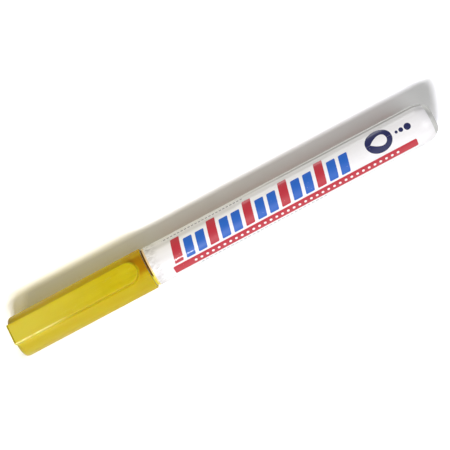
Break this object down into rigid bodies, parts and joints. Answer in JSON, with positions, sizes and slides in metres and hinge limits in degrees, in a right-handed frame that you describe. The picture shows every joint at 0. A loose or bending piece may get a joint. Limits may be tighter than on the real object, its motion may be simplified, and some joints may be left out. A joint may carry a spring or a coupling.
{
  "type": "marker pen",
  "caption": "Slim capped paint marker lying flat: round yellow cap with a raised flat tongue, white film-sleeved metal barrel, sprung valve nib and mixing balls inside.",
  "frame": {"origin": "on the surface that the pen lies on, under the middle of its length", "axes": "+X from the cap's closed end to the barrel's tail, +Z out of the cap's tongue, +Y completes a right-handed frame"},
  "size_m": [0.1386, 0.0128, 0.0137],
  "materials": {
    "cap_yellow": "satin injection-moulded yellow plastic",
    "natural_plastic": "uncoloured polypropylene",
    "section_plastic": "pale grey moulded plastic",
    "bare_aluminium": "drawn, satin",
    "white_film": "white printed sleeve film, slightly wrinkled",
    "dark_rubber": "matt",
    "nib_fibre": "pressed fibre soaked with yellow paint",
    "steel": "bright stainless"
  },
  "bodies": {
    "pen_body": {"barrel": "bare_aluminium", "label_film": "white_film", "front_section": "section_plastic", "collar_ring": "cap_yellow", "plug_ring": "dark_rubber", "valve_washer": "dark_rubber", "valve_housing": "natural_plastic", "valve_spring": "steel"},
    "cap": {"cap_shell": "cap_yellow", "seal_cup": "natural_plastic"},
    "nib_unit": {"nib": "nib_fibre", "valve_plunger": "natural_plastic"},
    "front_ball": {"mixing_ball_1": "steel"},
    "rear_ball": {"mixing_ball_2": "steel"}
  },
  "joints": [
    {"name": "cap_pull", "type": "slide", "parent": "pen_body", "child": "cap", "axis": [-1, 0, 0], "range_m": [0, 0.03]},
    {"name": "nib_press", "type": "slide", "parent": "pen_body", "child": "nib_unit", "axis": [1, 0, 0], "range_m": [0, 0.0012], "stiffness_N_per_m": 800, "springref_m": -0.001, "deforming": ["valve_spring"]},
    {"name": "front_ball_roll", "type": "slide", "parent": "pen_body", "child": "front_ball", "axis": [1, 0, 0], "range_m": [-0.016, 0.016]},
    {"name": "rear_ball_roll", "type": "slide", "parent": "pen_body", "child": "rear_ball", "axis": [1, 0, 0], "range_m": [-0.016, 0.016]}
  ]
}
